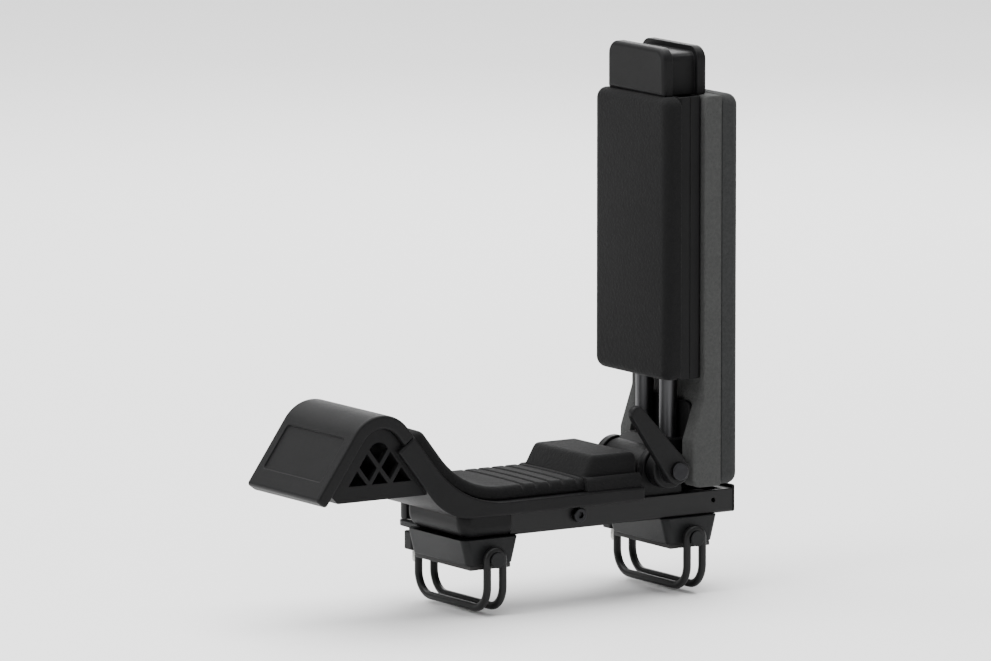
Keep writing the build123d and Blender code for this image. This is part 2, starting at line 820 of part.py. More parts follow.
# Arm bolt, nut and countersunk screws
with BuildPart() as arm_bolt:
    with BuildSketch(Plane.XZ.offset(rail_width / 2)):
        with Locations((bolt_x, bolt_z)):
            Circle(arm_bolt_head / 2)
    extrude(amount=arm_bolt_head_height)
    fillet(arm_bolt.edges().group_by(Axis.Y)[0], head_rounding)
    with BuildSketch(Plane.XZ.offset(rail_width / 2 + arm_bolt_head_height)):
        with Locations((bolt_x, bolt_z)):
            RegularPolygon(arm_bolt_socket / 2, 6, major_radius=False)
    extrude(amount=-arm_bolt_socket / 2, mode=Mode.SUBTRACT)
    with BuildSketch(Plane.XZ.offset(rail_width / 2)):
        with Locations((bolt_x, bolt_z)):
            Circle(arm_bolt_diameter / 2)
    extrude(amount=-(rail_width + arm_nut_height + bolt_overrun))
arm_bolt.part.label = "arm_bolt"
export_step(arm_bolt.part, "parts/arm_bolt.step")

with BuildPart() as arm_nut:
    with BuildSketch(Plane.XZ.offset(-rail_width / 2)):
        with Locations((bolt_x, bolt_z)):
            RegularPolygon(arm_bolt_head / 2, 6, major_radius=False)
            Circle(arm_bolt_diameter / 2 + press_clearance, mode=Mode.SUBTRACT)
    extrude(amount=-arm_nut_height)
arm_nut.part.label = "arm_nut"
export_step(arm_nut.part, "parts/arm_nut.step")

with BuildPart() as arm_screws:
    arm_head_depth = (arm_screw_head - arm_screw_diameter) / 2
    for y in (-arm_screw_spacing / 2, arm_screw_spacing / 2):
        with BuildSketch(Plane.XY.offset(floor_top - arm_screw_length)):
            with Locations((arm_screw_x, y)):
                Circle(arm_screw_diameter / 2)
        extrude(amount=arm_screw_length)
        with Locations((arm_screw_x, y, floor_top - arm_head_depth / 2)):
            Cone(arm_screw_diameter / 2, arm_screw_head / 2, arm_head_depth)
arm_screws.part.label = "arm_screws"
export_step(arm_screws.part, "parts/arm_screws.step")

# Hinge bracket: floor plate in the rail, two ears for the pivot and a rib that stops the mast upright
stop_top = rail_top + stop_rise
bracket_top = rail_floor_z + bracket_floor
with BuildPart() as hinge_bracket:
    with BuildSketch(Plane.XZ.offset(ear_gap / 2)) as ear_side:
        with BuildLine():
            Polyline(
                (bracket_outboard_x, rail_floor_z),
                (bracket_inboard_x, rail_floor_z),
                (bracket_inboard_x, rail_top),
                (pivot_x + ear_radius + ear_foot, rail_top),
                (pivot_x + ear_radius, pivot_z),
                (pivot_x - ear_radius, pivot_z),
                (bracket_outboard_x, rail_top),
                close=True,
            )
        make_face()
        with Locations((pivot_x, pivot_z)):
            Circle(ear_radius)
    extrude(amount=ear_thickness)
    fillet(hinge_bracket.faces().sort_by(Axis.Y)[0].edges(), bracket_edge)
    mirror(about=Plane.XZ)
    with BuildSketch(Plane.XY.offset(rail_floor_z)):
        with Locations(((bracket_outboard_x + bracket_inboard_x) / 2, 0)):
            Rectangle(bracket_inboard_x - bracket_outboard_x, ear_gap)
    extrude(amount=bracket_floor)
    with BuildSketch(Plane.XY.offset(bracket_top)):
        with Locations((bracket_inboard_x - stop_length / 2, 0)):
            Rectangle(stop_length, stop_width)
    extrude(amount=stop_top - bracket_top)
    with BuildSketch(Plane.XZ):
        with Locations((pivot_x, pivot_z)):
            Circle(pivot_diameter / 2 + screw_clearance)
    extrude(amount=rail_width, both=True, mode=Mode.SUBTRACT)
    with Locations((inboard_x, 0, bracket_top)):
        with GridLocations(bracket_screw_pitch, bracket_screw_spread, 2, 2):
            Hole(bracket_screw_diameter / 2 + press_clearance, bracket_floor)
hinge_bracket.part.label = "hinge_bracket"
export_step(hinge_bracket.part, "parts/hinge_bracket.step")

with BuildPart() as bracket_screws:
    with BuildSketch(Plane.XY.offset(bracket_top)):
        with Locations((inboard_x, 0)):
            with GridLocations(bracket_screw_pitch, bracket_screw_spread, 2, 2):
                Circle(bracket_screw_head / 2)
    extrude(amount=bracket_screw_head_height)
    fillet(bracket_screws.edges().group_by(Axis.Z)[-1], head_rounding)
    with BuildSketch(Plane.XY.offset(bracket_top)):
        with Locations((inboard_x, 0)):
            with GridLocations(bracket_screw_pitch, bracket_screw_spread, 2, 2):
                Circle(bracket_screw_diameter / 2)
    extrude(amount=-bracket_screw_length)
bracket_screws.part.label = "bracket_screws"
export_step(bracket_screws.part, "parts/bracket_screws.step")

# Pivot bolt with its nut and washers, through the ears and the hub
ear_face = ear_gap / 2 + ear_thickness
washer_face = ear_face + pivot_washer_thickness
lever_back = washer_face + running_clearance
lever_plate = mast_pad_width / 2 + lever_to_pad
lever_front = lever_plate + lever_thickness
bolt_head_face = lever_front + running_clearance
with BuildPart() as pivot_bolt:
    with BuildSketch(Plane.XZ.offset(bolt_head_face)):
        with Locations((pivot_x, pivot_z)):
            Circle(pivot_head_diameter / 2)
    extrude(amount=pivot_head_height)
    fillet(pivot_bolt.edges().group_by(Axis.Y)[0], head_rounding)
    with BuildSketch(Plane.XZ.offset(bolt_head_face)):
        with Locations((pivot_x, pivot_z)):
            Circle(pivot_diameter / 2)
    extrude(amount=-(bolt_head_face + washer_face + pivot_nut_height + bolt_overrun))
pivot_bolt.part.label = "pivot_bolt"
export_step(pivot_bolt.part, "parts/pivot_bolt.step")

with BuildPart() as pivot_nut:
    with BuildSketch(Plane.XZ.offset(-washer_face)):
        with Locations((pivot_x, pivot_z)):
            RegularPolygon(pivot_nut_width / 2, 6, major_radius=False)
            Circle(pivot_diameter / 2 + press_clearance, mode=Mode.SUBTRACT)
    extrude(amount=-pivot_nut_height)
pivot_nut.part.label = "pivot_nut"
export_step(pivot_nut.part, "parts/pivot_nut.step")

with BuildPart() as pivot_washers:
    with BuildSketch(Plane.XZ.offset(ear_face)):
        with Locations((pivot_x, pivot_z)):
            Circle(pivot_washer_diameter / 2)
            Circle(pivot_diameter / 2 + screw_clearance, mode=Mode.SUBTRACT)
    extrude(amount=pivot_washer_thickness)
    mirror(about=Plane.XZ)
pivot_washers.part.label = "pivot_washers"
export_step(pivot_washers.part, "parts/pivot_washers.step")

# Pivot bushes: flanged sleeves pressed into both ends of the hub barrel
with BuildPart() as pivot_bushes:
    with BuildSketch(Plane.XZ.offset(hub_width / 2)):
        with Locations((pivot_x, pivot_z)):
            Circle(pivot_diameter / 2 + bush_wall)
    extrude(amount=-bush_length)
    with BuildSketch(Plane.XZ.offset(hub_width / 2)):
        with Locations((pivot_x, pivot_z)):
            Circle(bush_flange_diameter / 2)
    extrude(amount=bush_flange)
    with BuildSketch(Plane.XZ):
        with Locations((pivot_x, pivot_z)):
            Circle(pivot_diameter / 2 + screw_clearance)
    extrude(amount=hub_width, mode=Mode.SUBTRACT)
    mirror(about=Plane.XZ)
pivot_bushes.part.label = "pivot_bushes"
export_step(pivot_bushes.part, "parts/pivot_bushes.step")

# Fold lever: round boss on the pivot bolt with a tapered arm outside the pads
lever_tip_x = pivot_x + lever_length * cos(radians(lever_angle))
lever_tip_z = pivot_z + lever_length * sin(radians(lever_angle))
with BuildPart() as fold_lever:
    with BuildSketch(Plane.XZ.offset(lever_back)):
        with Locations((pivot_x, pivot_z)):
            Circle(lever_disc_diameter / 2)
    extrude(amount=lever_disc_thickness)
    fillet(fold_lever.edges().group_by(Axis.Y)[0], lever_rounding)
    with BuildSketch(Plane.XZ.offset(lever_back)):
        with Locations((pivot_x, pivot_z)):
            Circle(lever_neck_diameter / 2)
    extrude(amount=lever_front - lever_back)
    with BuildSketch(Plane.XZ.offset(lever_plate)):
        with Locations((pivot_x, pivot_z)):
            Circle(lever_neck_diameter / 2)
        with Locations((lever_tip_x, lever_tip_z)):
            Circle(lever_width / 2)
        make_hull()
    extrude(amount=lever_thickness)
    fillet(fold_lever.edges().group_by(Axis.Y)[0], lever_rounding)
    with BuildSketch(Plane.XZ):
        with Locations((pivot_x, pivot_z)):
            Circle(pivot_diameter / 2 + screw_clearance)
    extrude(amount=arm_width, mode=Mode.SUBTRACT)
fold_lever.part.label = "fold_lever"
export_step(fold_lever.part, "parts/fold_lever.step")

# Mast hub: barrel on the pivot with a heel, two tube sockets and a back flange
hub_bottom = stop_top + running_clearance
socket_bottom = hub_bottom + hub_socket_floor
with BuildPart() as mast_hub:
    with BuildSketch(Plane.XZ):
        with BuildLine():
            Polyline(
                (pivot_x, pivot_z - hub_barrel_radius),
                (pivot_x + hub_heel, hub_bottom),
                (shell_inboard_x, hub_bottom),
                (shell_inboard_x, hub_socket_top),
                (tube_x - tube_diameter / 2 - hub_wall, hub_socket_top),
                (pivot_x, pivot_z + hub_barrel_radius),
                close=True,
            )
        make_face()
        with Locations((pivot_x, pivot_z)):
            Circle(hub_barrel_radius)
    extrude(amount=hub_width / 2, both=True)
    fillet(mast_hub.faces().filter_by(Axis.Z).sort_by(Axis.Z)[-1].edges(), hub_edge)
    with BuildSketch(Plane.YZ.offset(shell_inboard_x)):
        with Locations((0, (hub_bottom + hub_flange_top) / 2)):
            RectangleRounded(hub_flange_width, hub_flange_top - hub_bottom, hub_flange_corner)
    extrude(amount=-hub_flange_thickness)
    with BuildSketch(Plane.XY.offset(socket_bottom)):
        with Locations((tube_x, 0)):
            with GridLocations(0, tube_spacing, 1, 2):
                Circle(tube_diameter / 2 + press_clearance)
    extrude(amount=hub_flange_top - socket_bottom, mode=Mode.SUBTRACT)
    with BuildSketch(Plane.XZ):
        with Locations((pivot_x, pivot_z)):
            Circle(pivot_diameter / 2 + bush_wall + press_clearance)
    extrude(amount=hub_width, both=True, mode=Mode.SUBTRACT)
mast_hub.part.label = "mast_hub"
export_step(mast_hub.part, "parts/mast_hub.step")

# Mast tubes: bright tubes from the hub sockets into the mast head
tube_top = mast_height - head_cover
for side, y in tube_ys.items():
    with BuildPart() as mast_tube:
        with BuildSketch(Plane.XY.offset(socket_bottom)):
            with Locations((tube_x, y)):
                Circle(tube_diameter / 2)
                Circle(tube_diameter / 2 - tube_wall, mode=Mode.SUBTRACT)
        extrude(amount=tube_top - socket_bottom)
    mast_tube.part.label = f"mast_tube_{side}"
    export_step(mast_tube.part, f"parts/mast_tube_{side}.step")

# Mast panels: two moulded halves that close round the tubes and carry the pads
head_bottom = mast_height - head_height
shell_tops = {"outboard": shell_outboard_x, "inboard": shell_inboard_x}
shell_middle_z = (shell_bottom + head_bottom) / 2
for side, face_x in shell_tops.items():
    inward = 1 if face_x < tube_x else -1
    split_x = tube_x - inward * press_clearance
    depth = abs(split_x - face_x)
    with BuildPart() as mast_panel:
        with BuildSketch(Plane.XY.offset(shell_bottom)):
            with Locations((face_x + inward * depth / 2, 0)):
                Rectangle(depth, shell_width)
            with Locations((face_x + inward * (shell_wall + depth) / 2, 0)):
                with GridLocations(0, shell_width / 2 + tube_spacing / 2 + tube_diameter / 2, 1, 2):
                    Rectangle(
                        depth - shell_wall,
                        shell_width / 2 - tube_spacing / 2 - tube_diameter / 2 - 2 * shell_wall,
                        mode=Mode.SUBTRACT,
                    )
            with Locations((tube_x, 0)):
                with GridLocations(0, tube_spacing, 1, 2):
                    Circle(tube_diameter / 2 + screw_clearance, mode=Mode.SUBTRACT)
        extrude(amount=head_bottom - shell_bottom)
        upright = mast_panel.edges().filter_by(Axis.Z).group_by(Axis.X)
        fillet(upright[0] if side == "outboard" else upright[-1], shell_edge)
        with BuildSketch(Plane.YZ):
            with Locations((0, shell_middle_z)):
                with GridLocations(0, panel_screw_pitch, 1, panel_screws_in_row):
                    Circle(panel_screw_diameter / 2 + press_clearance)
        extrude(amount=rail_inboard_x, mode=Mode.SUBTRACT)
        if side == "outboard":
            for i in range(panel_screws_in_row):
                z = shell_middle_z + (i - (panel_screws_in_row - 1) / 2) * panel_screw_pitch
                with Locations(Location((face_x + panel_head_depth / 2, 0, z), (0, -90, 0))):
                    Cone(
                        panel_screw_diameter / 2 + press_clearance,
                        panel_screw_head / 2 + press_clearance,
                        panel_head_depth,
                        mode=Mode.SUBTRACT,
                    )
    mast_panel.part.label = f"mast_panel_{side}"
    export_step(mast_panel.part, f"parts/mast_panel_{side}.step")

with BuildPart() as panel_screws:
    for i in range(panel_screws_in_row):
        z = shell_middle_z + (i - (panel_screws_in_row - 1) / 2) * panel_screw_pitch
        with BuildSketch(Plane.YZ.offset(shell_outboard_x)):
            with Locations((0, z)):
                Circle(panel_screw_diameter / 2)
        extrude(amount=shell_inboard_x - shell_outboard_x - shell_wall)
        with Locations(Location((shell_outboard_x + panel_head_depth / 2, 0, z), (0, -90, 0))):
            Cone(panel_screw_diameter / 2, panel_screw_head / 2, panel_head_depth)
panel_screws.part.label = "panel_screws"
export_step(panel_screws.part, "parts/panel_screws.step")

# Outboard mast pad: black foam that faces the cradle
pad_face_x = shell_outboard_x - pad_gap
with BuildPart() as mast_pad_outboard:
    with BuildSketch(Plane.YZ.offset(pad_face_x)):
        with Locations((0, (shell_bottom + head_bottom) / 2)):
            RectangleRounded(mast_pad_width, head_bottom - shell_bottom, mast_pad_corner)
    extrude(amount=-outboard_pad_thickness)
    fillet(mast_pad_outboard.edges().group_by(Axis.X)[0], mast_pad_rounding)
mast_pad_outboard.part.label = "mast_pad_outboard"
export_step(mast_pad_outboard.part, "parts/mast_pad_outboard.step")

# Inboard mast pad: thick grey foam that reaches down to the rail, with two side wings round the hub
back_x = shell_inboard_x + pad_gap
wing_x = shell_inboard_x - wing_depth
inboard_pad_bottom = rail_top + inboard_pad_to_rail
with BuildPart() as mast_pad_inboard:
    with BuildSketch(Plane.XZ) as inboard_side:
        with BuildLine():
            Polyline(
                (back_x, head_bottom),
                (back_x + inboard_pad_thickness, head_bottom),
                (back_x + inboard_pad_thickness, inboard_pad_bottom),
                (wing_x, inboard_pad_bottom),
                (wing_x, wing_full),
                (back_x, wing_top),
                close=True,
            )
        make_face()
    extrude(amount=mast_pad_width / 2, both=True)
    fillet(mast_pad_inboard.faces().sort_by(Axis.X)[-1].edges(), mast_pad_rounding)
    with BuildSketch(Plane.XZ):
        with Locations(((wing_x + back_x) / 2, (inboard_pad_bottom + wing_top) / 2)):
            Rectangle(back_x - wing_x, wing_top - inboard_pad_bottom)
    extrude(amount=hub_flange_width / 2 + running_clearance, both=True, mode=Mode.SUBTRACT)
mast_pad_inboard.part.label = "mast_pad_inboard"
export_step(mast_pad_inboard.part, "parts/mast_pad_inboard.step")

# Mast head: spool-shaped cap on the tubes, with a groove across its top
with BuildPart() as mast_head:
    with BuildSketch(Plane.YZ.offset(tube_x)) as head_front:
        with Locations((0, (head_bottom + mast_height) / 2)):
            Rectangle(head_width, head_height)
        fillet(head_front.vertices().group_by(Axis.Y)[-1], head_rounding_top)
    extrude(amount=head_length / 2, both=True)
    fillet(mast_head.faces().filter_by(Axis.X).edges(), head_edge)
    with BuildSketch(Plane.YZ.offset(tube_x), mode=Mode.PRIVATE) as spool_core:
        with Locations((0, (head_bottom + mast_height) / 2 - strap_groove)):
            Rectangle(head_width - 2 * strap_groove, head_height)
        fillet(spool_core.vertices().group_by(Axis.Y)[-1], head_rounding_top - strap_groove)
    with BuildSketch(Plane.YZ.offset(tube_x)):
        with Locations((0, (head_bottom + mast_height) / 2)):
            Rectangle(head_width, head_height)
        add(spool_core.sketch_local, mode=Mode.SUBTRACT)
    extrude(amount=strap_width / 2 + sliding_clearance, both=True, mode=Mode.SUBTRACT)
    with BuildSketch(Plane.XY.offset(head_bottom)):
        with Locations((tube_x, 0)):
            with GridLocations(0, tube_spacing, 1, 2):
                Circle(tube_diameter / 2 + press_clearance)
    extrude(amount=tube_top - head_bottom, mode=Mode.SUBTRACT)
mast_head.part.label = "mast_head"
export_step(mast_head.part, "parts/mast_head.step")
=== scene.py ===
"""Looks of a folding J style kayak carrier: the finish of each piece, its foam pads and its screw threads."""

from math import cos, pi, radians, sin, tan

import bpy
import numpy as np
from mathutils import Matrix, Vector


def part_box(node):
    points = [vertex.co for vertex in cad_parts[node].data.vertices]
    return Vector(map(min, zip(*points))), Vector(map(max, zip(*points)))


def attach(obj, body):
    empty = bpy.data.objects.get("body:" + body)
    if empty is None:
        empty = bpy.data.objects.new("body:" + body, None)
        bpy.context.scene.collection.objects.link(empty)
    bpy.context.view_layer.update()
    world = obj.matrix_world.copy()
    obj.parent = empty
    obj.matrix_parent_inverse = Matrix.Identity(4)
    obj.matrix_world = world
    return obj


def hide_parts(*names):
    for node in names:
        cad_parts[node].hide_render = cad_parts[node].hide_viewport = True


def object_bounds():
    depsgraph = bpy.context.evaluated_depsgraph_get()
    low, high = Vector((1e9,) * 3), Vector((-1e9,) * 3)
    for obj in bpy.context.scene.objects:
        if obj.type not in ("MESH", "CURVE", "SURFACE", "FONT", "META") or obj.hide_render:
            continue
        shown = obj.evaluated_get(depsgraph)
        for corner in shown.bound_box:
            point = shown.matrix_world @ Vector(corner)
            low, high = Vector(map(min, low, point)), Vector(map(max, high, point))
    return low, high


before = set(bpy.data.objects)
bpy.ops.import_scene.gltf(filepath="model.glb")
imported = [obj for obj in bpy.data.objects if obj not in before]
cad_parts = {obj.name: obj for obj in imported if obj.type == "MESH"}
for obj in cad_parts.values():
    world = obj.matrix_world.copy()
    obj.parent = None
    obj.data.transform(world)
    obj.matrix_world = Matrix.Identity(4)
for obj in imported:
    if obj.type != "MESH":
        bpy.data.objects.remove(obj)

cad_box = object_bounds()

# Feet
# Two tapered blocks, injection moulded in glass-filled nylon, dark grey with a spark-eroded grain.
# Each carries a peg for its bail in front and a gusseted flange for the hand screw behind.
weld_distance = 8e-5
flat_angle = radians(0.4)
sharp_angle = radians(32)
edge_segments = 2


class Field:
    """A value that changes over a surface: one socket of a material's node tree.
    Arithmetic on fields adds Math nodes, and node() adds any other kind."""

    def __init__(self, tree, socket):
        self.tree = tree
        self.socket = socket

    def node(self, kind, settings, sockets, output=0):
        """Adds a node: its settings first, then the value or link of each socket. Gives one output."""
        made = self.tree.nodes.new("ShaderNode" + kind)
        for name, value in settings.items():
            setattr(made, name, value)
        for key, value in sockets.items():
            if isinstance(value, Field):
                self.tree.links.new(value.socket, made.inputs[key])
            else:
                made.inputs[key].default_value = value
        return Field(self.tree, made.outputs[output])

    def maths(self, operation, first, second):
        return self.node("Math", {"operation": operation}, {0: first, 1: second})

    def __add__(self, other):
        return self.maths("ADD", self, other)

    def __sub__(self, other):
        return self.maths("SUBTRACT", self, other)

    def __rsub__(self, other):
        return self.maths("SUBTRACT", other, self)

    def __mul__(self, other):
        return self.maths("MULTIPLY", self, other)

    __radd__ = __add__
    __rmul__ = __mul__

    def into(self, socket):
        self.tree.links.new(self.socket, socket)


def new_finish(name, **constants):
    """A new material. Gives the material, its shader's sockets and the object's own coordinates."""
    material = bpy.data.materials.new(name)
    material.use_nodes = True
    tree = material.node_tree
    sockets = tree.nodes["Principled BSDF"].inputs
    for socket, value in constants.items():
        sockets[socket.replace("_", " ")].default_value = value
    place = tree.nodes.new("ShaderNodeTexCoord").outputs["Object"]
    return material, sockets, Field(tree, place)


def noise(place, scale, detail=2.0):
    """Cloudy noise from 0 to 1 with about that many lumps to the metre."""
    return place.node("TexNoise", {}, {"Vector": place, "Scale": scale, "Detail": detail})


def between(share, low, high):
    """The colour that lies that share of the way from one colour to another."""
    sockets = {0: share, 6: (*low, 1.0), 7: (*high, 1.0)}
    return share.node("Mix", {"data_type": "RGBA"}, sockets, output=2)


def raised(height, strength, distance):
    """The normal of a surface that a height field lifts by up to that distance."""
    sockets = {"Height": height, "Strength": strength, "Distance": distance}
    return height.node("Bump", {}, sockets)


def moulded_plastic(name, dark, light, roughness):
    """Moulded plastic: colour drifts between two shades with the melt's flow, roughness drifts the other way,
    and the grain is noise of two sizes cut off at its middle, as spark-eroded steel leaves it."""
    material, sockets, place = new_finish(name, IOR=1.5, Specular_IOR_Level=0.14)
    flow = noise(place, 22.0, detail=3.0)
    coarse = noise(place, 640.0, detail=2.0)
    fine = noise(place, 2100.0, detail=1.0)
    grain = 0.55 * coarse + 0.45 * fine
    between(0.7 * flow + 0.3 * coarse, dark, light).into(sockets["Base Color"])
    (roughness + 0.12 * (1.0 - flow) + 0.3 * (grain - 0.5)).into(sockets["Roughness"])
    raised(grain.maths("MAXIMUM", grain, 0.45), strength=0.6, distance=0.0003).into(sockets["Normal"])
    return material


def dress(material, *names, edge, clamp=False):
    """Gives CAD pieces their finish, and breaks their sharp edges by a bevel of that width. Seams are welded
    and flat faces joined first. A piece with small curves of its own has a clamped bevel, to keep them."""
    for name in names:
        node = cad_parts[name]
        node.data.materials.clear()
        node.data.materials.append(material)
        weld = node.modifiers.new("weld", "WELD")
        weld.merge_threshold = weld_distance
        flats = node.modifiers.new("flats", "DECIMATE")
        flats.decimate_type = "DISSOLVE"
        flats.angle_limit = flat_angle
        bevel = node.modifiers.new("edge", "BEVEL")
        bevel.width = edge
        bevel.segments = edge_segments
        bevel.limit_method = "ANGLE"
        bevel.angle_limit = sharp_angle
        bevel.use_clamp_overlap = clamp
        bevel.harden_normals = True


sides = ("outboard", "inboard")
grey_plastic = moulded_plastic(
    "grey_moulded_plastic", dark=(0.008, 0.0083, 0.0087), light=(0.0135, 0.014, 0.0145), roughness=0.42
)
dress(grey_plastic, *[f"foot_{side}" for side in sides], edge=0.0007)

# Saddle pads
# Thin sheets of black rubber, moulded with grooves across them and glued under the feet. They keep the clamps
# from slipping.
rubber_dark = (0.012, 0.012, 0.012)
rubber_light = (0.022, 0.021, 0.021)
saddle_rounding = 0.0008
saddle_groove_pitch = 0.012
saddle_groove_half = 0.0012
saddle_groove_wall = 0.4 * saddle_groove_half
saddle_groove_depth = 0.0012
saddle_points = 480
saddle_crease = 35


def rounded_outline(corners, radii, steps=9):
    """Outline of a polygon with rounded corners. Each corner's arc is centred on the corner's bisector,
    at its radius over the sine of half the angle, and turns from one side's tangent point to the other's."""
    corners = np.asarray(corners, float)
    radii = np.broadcast_to(radii, len(corners))[:, None]
    before = np.roll(corners, 1, axis=0) - corners
    after = np.roll(corners, -1, axis=0) - corners
    before /= np.linalg.norm(before, axis=1, keepdims=True)
    after /= np.linalg.norm(after, axis=1, keepdims=True)
    half = np.arccos(np.clip((before * after).sum(1, keepdims=True), -1, 1)) / 2
    bisector = (before + after) / (2 * np.cos(half))
    centre = corners + bisector * radii / np.sin(half)
    arm = corners + before * radii / np.tan(half) - centre
    sense = np.sign(before[:, :1] * after[:, 1:] - before[:, 1:] * after[:, :1])
    angle = -sense * (pi - 2 * half) * np.linspace(0, 1, steps)
    x = centre[:, :1] + arm[:, :1] * np.cos(angle) - arm[:, 1:] * np.sin(angle)
    y = centre[:, 1:] + arm[:, :1] * np.sin(angle) + arm[:, 1:] * np.cos(angle)
    return np.stack([x, y], axis=-1).reshape(-1, 2)


def evenly(outline, count):
    """The same closed outline with that many points, evenly spaced along it."""
    closed = np.concatenate([outline, outline[:1]])
    run = np.concatenate([[0], np.cumsum(np.linalg.norm(np.diff(closed, axis=0), axis=1))])
    at = np.linspace(0, run[-1], count, endpoint=False)
    return np.stack([np.interp(at, run, closed[:, 0]), np.interp(at, run, closed[:, 1])], axis=-1)


def rectangle(low, high, radii, count):
    """A rectangle between two corners, with rounded corners and that many evenly spaced points."""
    corners = [(low[0], low[1]), (high[0], low[1]), (high[0], high[1]), (low[0], high[1])]
    return evenly(rounded_outline(corners, radii), count)


def inset(outline, distance):
    """Outlines that lie inside a closed outline by each distance, measured along its normals."""
    ahead = np.roll(outline, -1, axis=0) - np.roll(outline, 1, axis=0)
    normal = np.stack([-ahead[:, 1], ahead[:, 0]], axis=-1) / np.linalg.norm(ahead, axis=1, keepdims=True)
    following = np.roll(outline, -1, axis=0)
    area = (outline[:, 0] * following[:, 1] - outline[:, 1] * following[:, 0]).sum()
    return outline + np.sign(area) * normal * np.asarray(distance)[:, None, None]


def skin(name, rings, material, crease, poles=None):
    """A closed piece over a grid of points: each row is a ring, rows are joined in turn, and a fan closes
    each end, to its pole or to the ring's mean point. Faces are turned outwards by the sign of the volume
    that they enclose, and edges sharper than the crease angle stay sharp."""
    rows, columns, _ = rings.shape
    index = np.arange(rows * columns).reshape(rows, columns)
    beside = np.roll(index, -1, axis=1)
    quads = np.stack([index[:-1], beside[:-1], beside[1:], index[1:]], axis=-1).reshape(-1, 4)
    near = np.stack([np.full(columns, rows * columns), beside[0], index[0]], axis=-1)
    far = np.stack([np.full(columns, rows * columns + 1), index[-1], beside[-1]], axis=-1)
    ends = rings[[0, -1]].mean(axis=1) if poles is None else poles
    points = np.concatenate([rings.reshape(-1, 3), ends])
    corners = points[np.concatenate([quads[:, [0, 1, 2]], quads[:, [0, 2, 3]], near, far])]
    volume = np.einsum("ij,ij->", corners[:, 0], np.cross(corners[:, 1], corners[:, 2]))
    turn = 1 if volume > 0 else -1
    faces = [*quads[:, ::turn].tolist(), *near[:, ::turn].tolist(), *far[:, ::turn].tolist()]
    mesh = bpy.data.meshes.new(name)
    mesh.from_pydata(points.tolist(), [], faces)
    mesh.materials.append(material)
    mesh.shade_smooth()
    mesh.set_sharp_from_angle(angle=radians(crease))
    piece = bpy.data.objects.new(name, mesh)
    bpy.context.scene.collection.objects.link(piece)
    return piece


def quarter(radius, steps=7):
    """A rounded edge: how far it lies inside the side, and how far below the face, from side to face."""
    angle = np.linspace(0, pi / 2, steps)
    return radius * (1 - np.cos(angle)), radius * (1 - np.sin(angle))


def barred(outline, half_width, rounding, steps=9):
    """An outline of the XZ plane carried along Y with rounded ends: near each end it shrinks towards the
    middle of its lower side, by a quarter circle."""
    inside, below = quarter(rounding, steps)
    shrink = np.concatenate([inside[::-1], inside])[:, None]
    y = np.concatenate([below[::-1] - half_width, half_width - below])[:, None]
    low, high = outline.min(axis=0), outline.max(axis=0)
    middle = (low[0] + high[0]) / 2
    x = middle + (outline[None, :, 0] - middle) * (1 - 2 * shrink / (high[0] - low[0]))
    z = low[1] + (outline[None, :, 1] - low[1]) * (1 - shrink / (high[1] - low[1]))
    return np.stack([x, y + 0 * x, z], axis=-1)


def rubber(name):
    """Black rubber: nearly flat colour with a pale bloom in patches, and a fine sandy skin."""
    material, sockets, place = new_finish(name, IOR=1.52)
    bloom = noise(place, 35.0, detail=4.0)
    between(bloom, rubber_dark, rubber_light).into(sockets["Base Color"])
    sand = noise(place, 1500.0, detail=2.0)
    (0.66 + 0.2 * bloom).into(sockets["Roughness"])
    raised(sand, strength=0.25, distance=0.0001).into(sockets["Normal"])
    return material


saddle_rubber = rubber("saddle_rubber")
for side in sides:
    low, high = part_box(f"saddle_pad_{side}")
    saddle_outline = rectangle(low.xz, high.xz, saddle_rounding, saddle_points)
    from_middle = np.abs(saddle_outline[:, 0] - (low.x + high.x) / 2)
    from_groove = np.minimum(from_middle, np.abs(from_middle - saddle_groove_pitch))
    groove_share = (saddle_groove_half + saddle_groove_wall / 2 - from_groove) / saddle_groove_wall
    underside = saddle_outline[:, 1] < low.z + saddle_rounding / 4
    saddle_outline[:, 1] += saddle_groove_depth * np.clip(groove_share, 0, 1) * underside
    saddle_rings = barred(saddle_outline, (high.y - low.y) / 2, saddle_rounding)
    saddle = skin(f"saddle_rubber_{side}", saddle_rings, saddle_rubber, saddle_crease)
    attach(saddle, "base")
    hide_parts(f"saddle_pad_{side}")

# Bails and rail
# The bails are bent from round steel wire and the rail is a pressed channel. Both have a black powder coat,
# baked on, which leaves a faint orange peel.


def powder_coat(name, dark, light):
    """Baked powder: orange peel is soft noise a few millimetres across, under a finer one."""
    material, sockets, place = new_finish(name, IOR=1.5, Specular_IOR_Level=0.22)
    cloud = noise(place, 30.0, detail=3.0)
    between(cloud, dark, light).into(sockets["Base Color"])
    peel = noise(place, 420.0, detail=2.0)
    fleck = noise(place, 2600.0, detail=1.0)
    (0.38 + 0.1 * cloud + 0.1 * (fleck - 0.5)).into(sockets["Roughness"])
    raised(peel + 0.4 * fleck, strength=0.22, distance=0.00012).into(sockets["Normal"])
    return material


black_coat = powder_coat("black_powder_coat", dark=(0.003, 0.003, 0.0032), light=(0.006, 0.006, 0.0063))
dress(black_coat, *[f"bail_{side}" for side in sides], edge=0.0004)
dress(black_coat, "base_rail", edge=0.0005)

# Carriages, knobs and washers
# Each hand screw is moulded into a black plastic knob and turns on a plated washer. It draws a black nut
# block up its thread, which pulls the bail tight.
black_plastic = moulded_plastic(
    "black_moulded_plastic", dark=(0.0028, 0.0028, 0.003), light=(0.006, 0.006, 0.0063), roughness=0.46
)
dress(black_plastic, *[f"carriage_{side}" for side in sides], edge=0.0006)
dress(black_plastic, *[f"knob_{side}" for side in sides], edge=0.0003, clamp=True)


